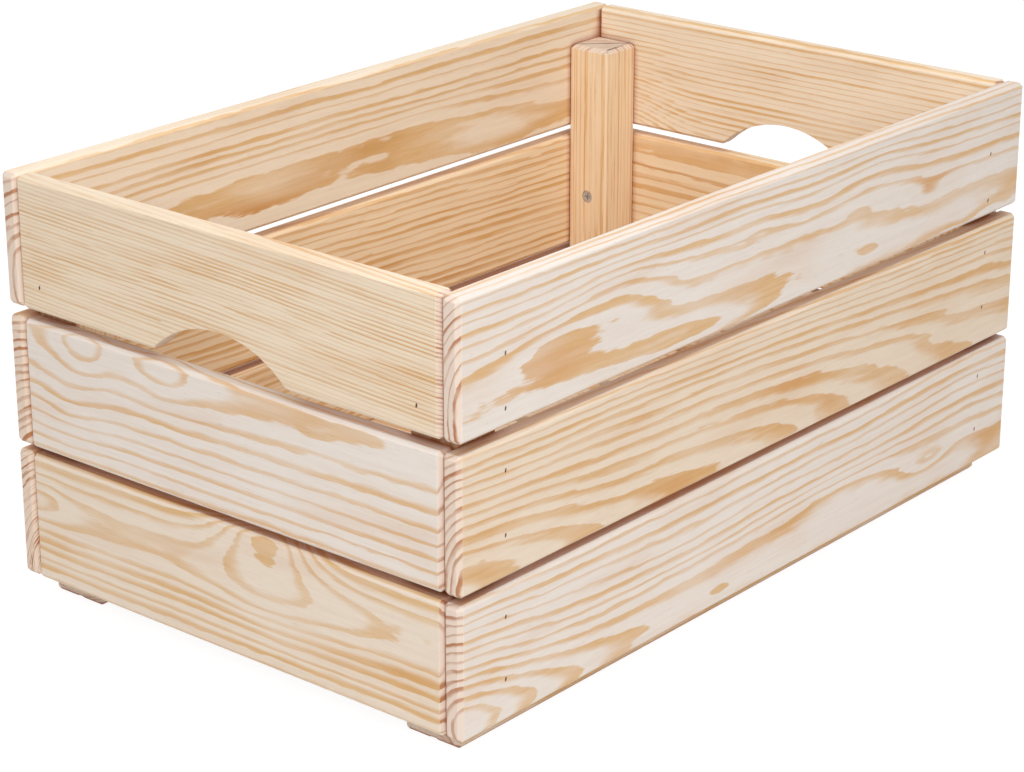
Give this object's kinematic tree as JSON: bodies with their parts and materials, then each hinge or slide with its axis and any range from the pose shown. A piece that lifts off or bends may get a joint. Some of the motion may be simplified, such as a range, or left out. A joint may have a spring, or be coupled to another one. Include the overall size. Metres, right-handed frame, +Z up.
{
  "type": "wooden crate",
  "caption": "Open pine storage crate: spaced planed boards nailed to inside corner posts, half-moon handholds in both ends, slatted floor on lengthwise runners.",
  "frame": {"origin": "middle of the footprint, on the underside of the two runners", "axes": "+X along the length, from the left end to the right end; +Y across the width, from the front side to the back side; +Z up, towards the open rim"},
  "size_m": [0.52, 0.33, 0.25],
  "materials": {
    "pine": "bare planed softwood, matt",
    "steel": "plain wire nails, dull",
    "zinc": "zinc-plated wood screws, satin"
  },
  "bodies": {
    "root": {"front_side_board_bottom": "pine", "front_side_board_middle": "pine", "front_side_board_top": "pine", "back_side_board_bottom": "pine", "back_side_board_middle": "pine", "back_side_board_top": "pine", "left_end_board_bottom": "pine", "left_end_board_middle": "pine", "left_end_board_top": "pine", "right_end_board_bottom": "pine", "right_end_board_middle": "pine", "right_end_board_top": "pine", "front_left_post": "pine", "front_right_post": "pine", "back_left_post": "pine", "back_right_post": "pine", "floor_slat_1": "pine", "floor_slat_2": "pine", "floor_slat_3": "pine", "floor_slat_4": "pine", "floor_slat_5": "pine", "floor_slat_6": "pine", "front_runner": "pine", "back_runner": "pine", "wall_nails": "steel", "end_nails": "steel", "floor_nails": "steel", "post_screws": "zinc", "runner_screws": "zinc"}
  },
  "joints": []
}
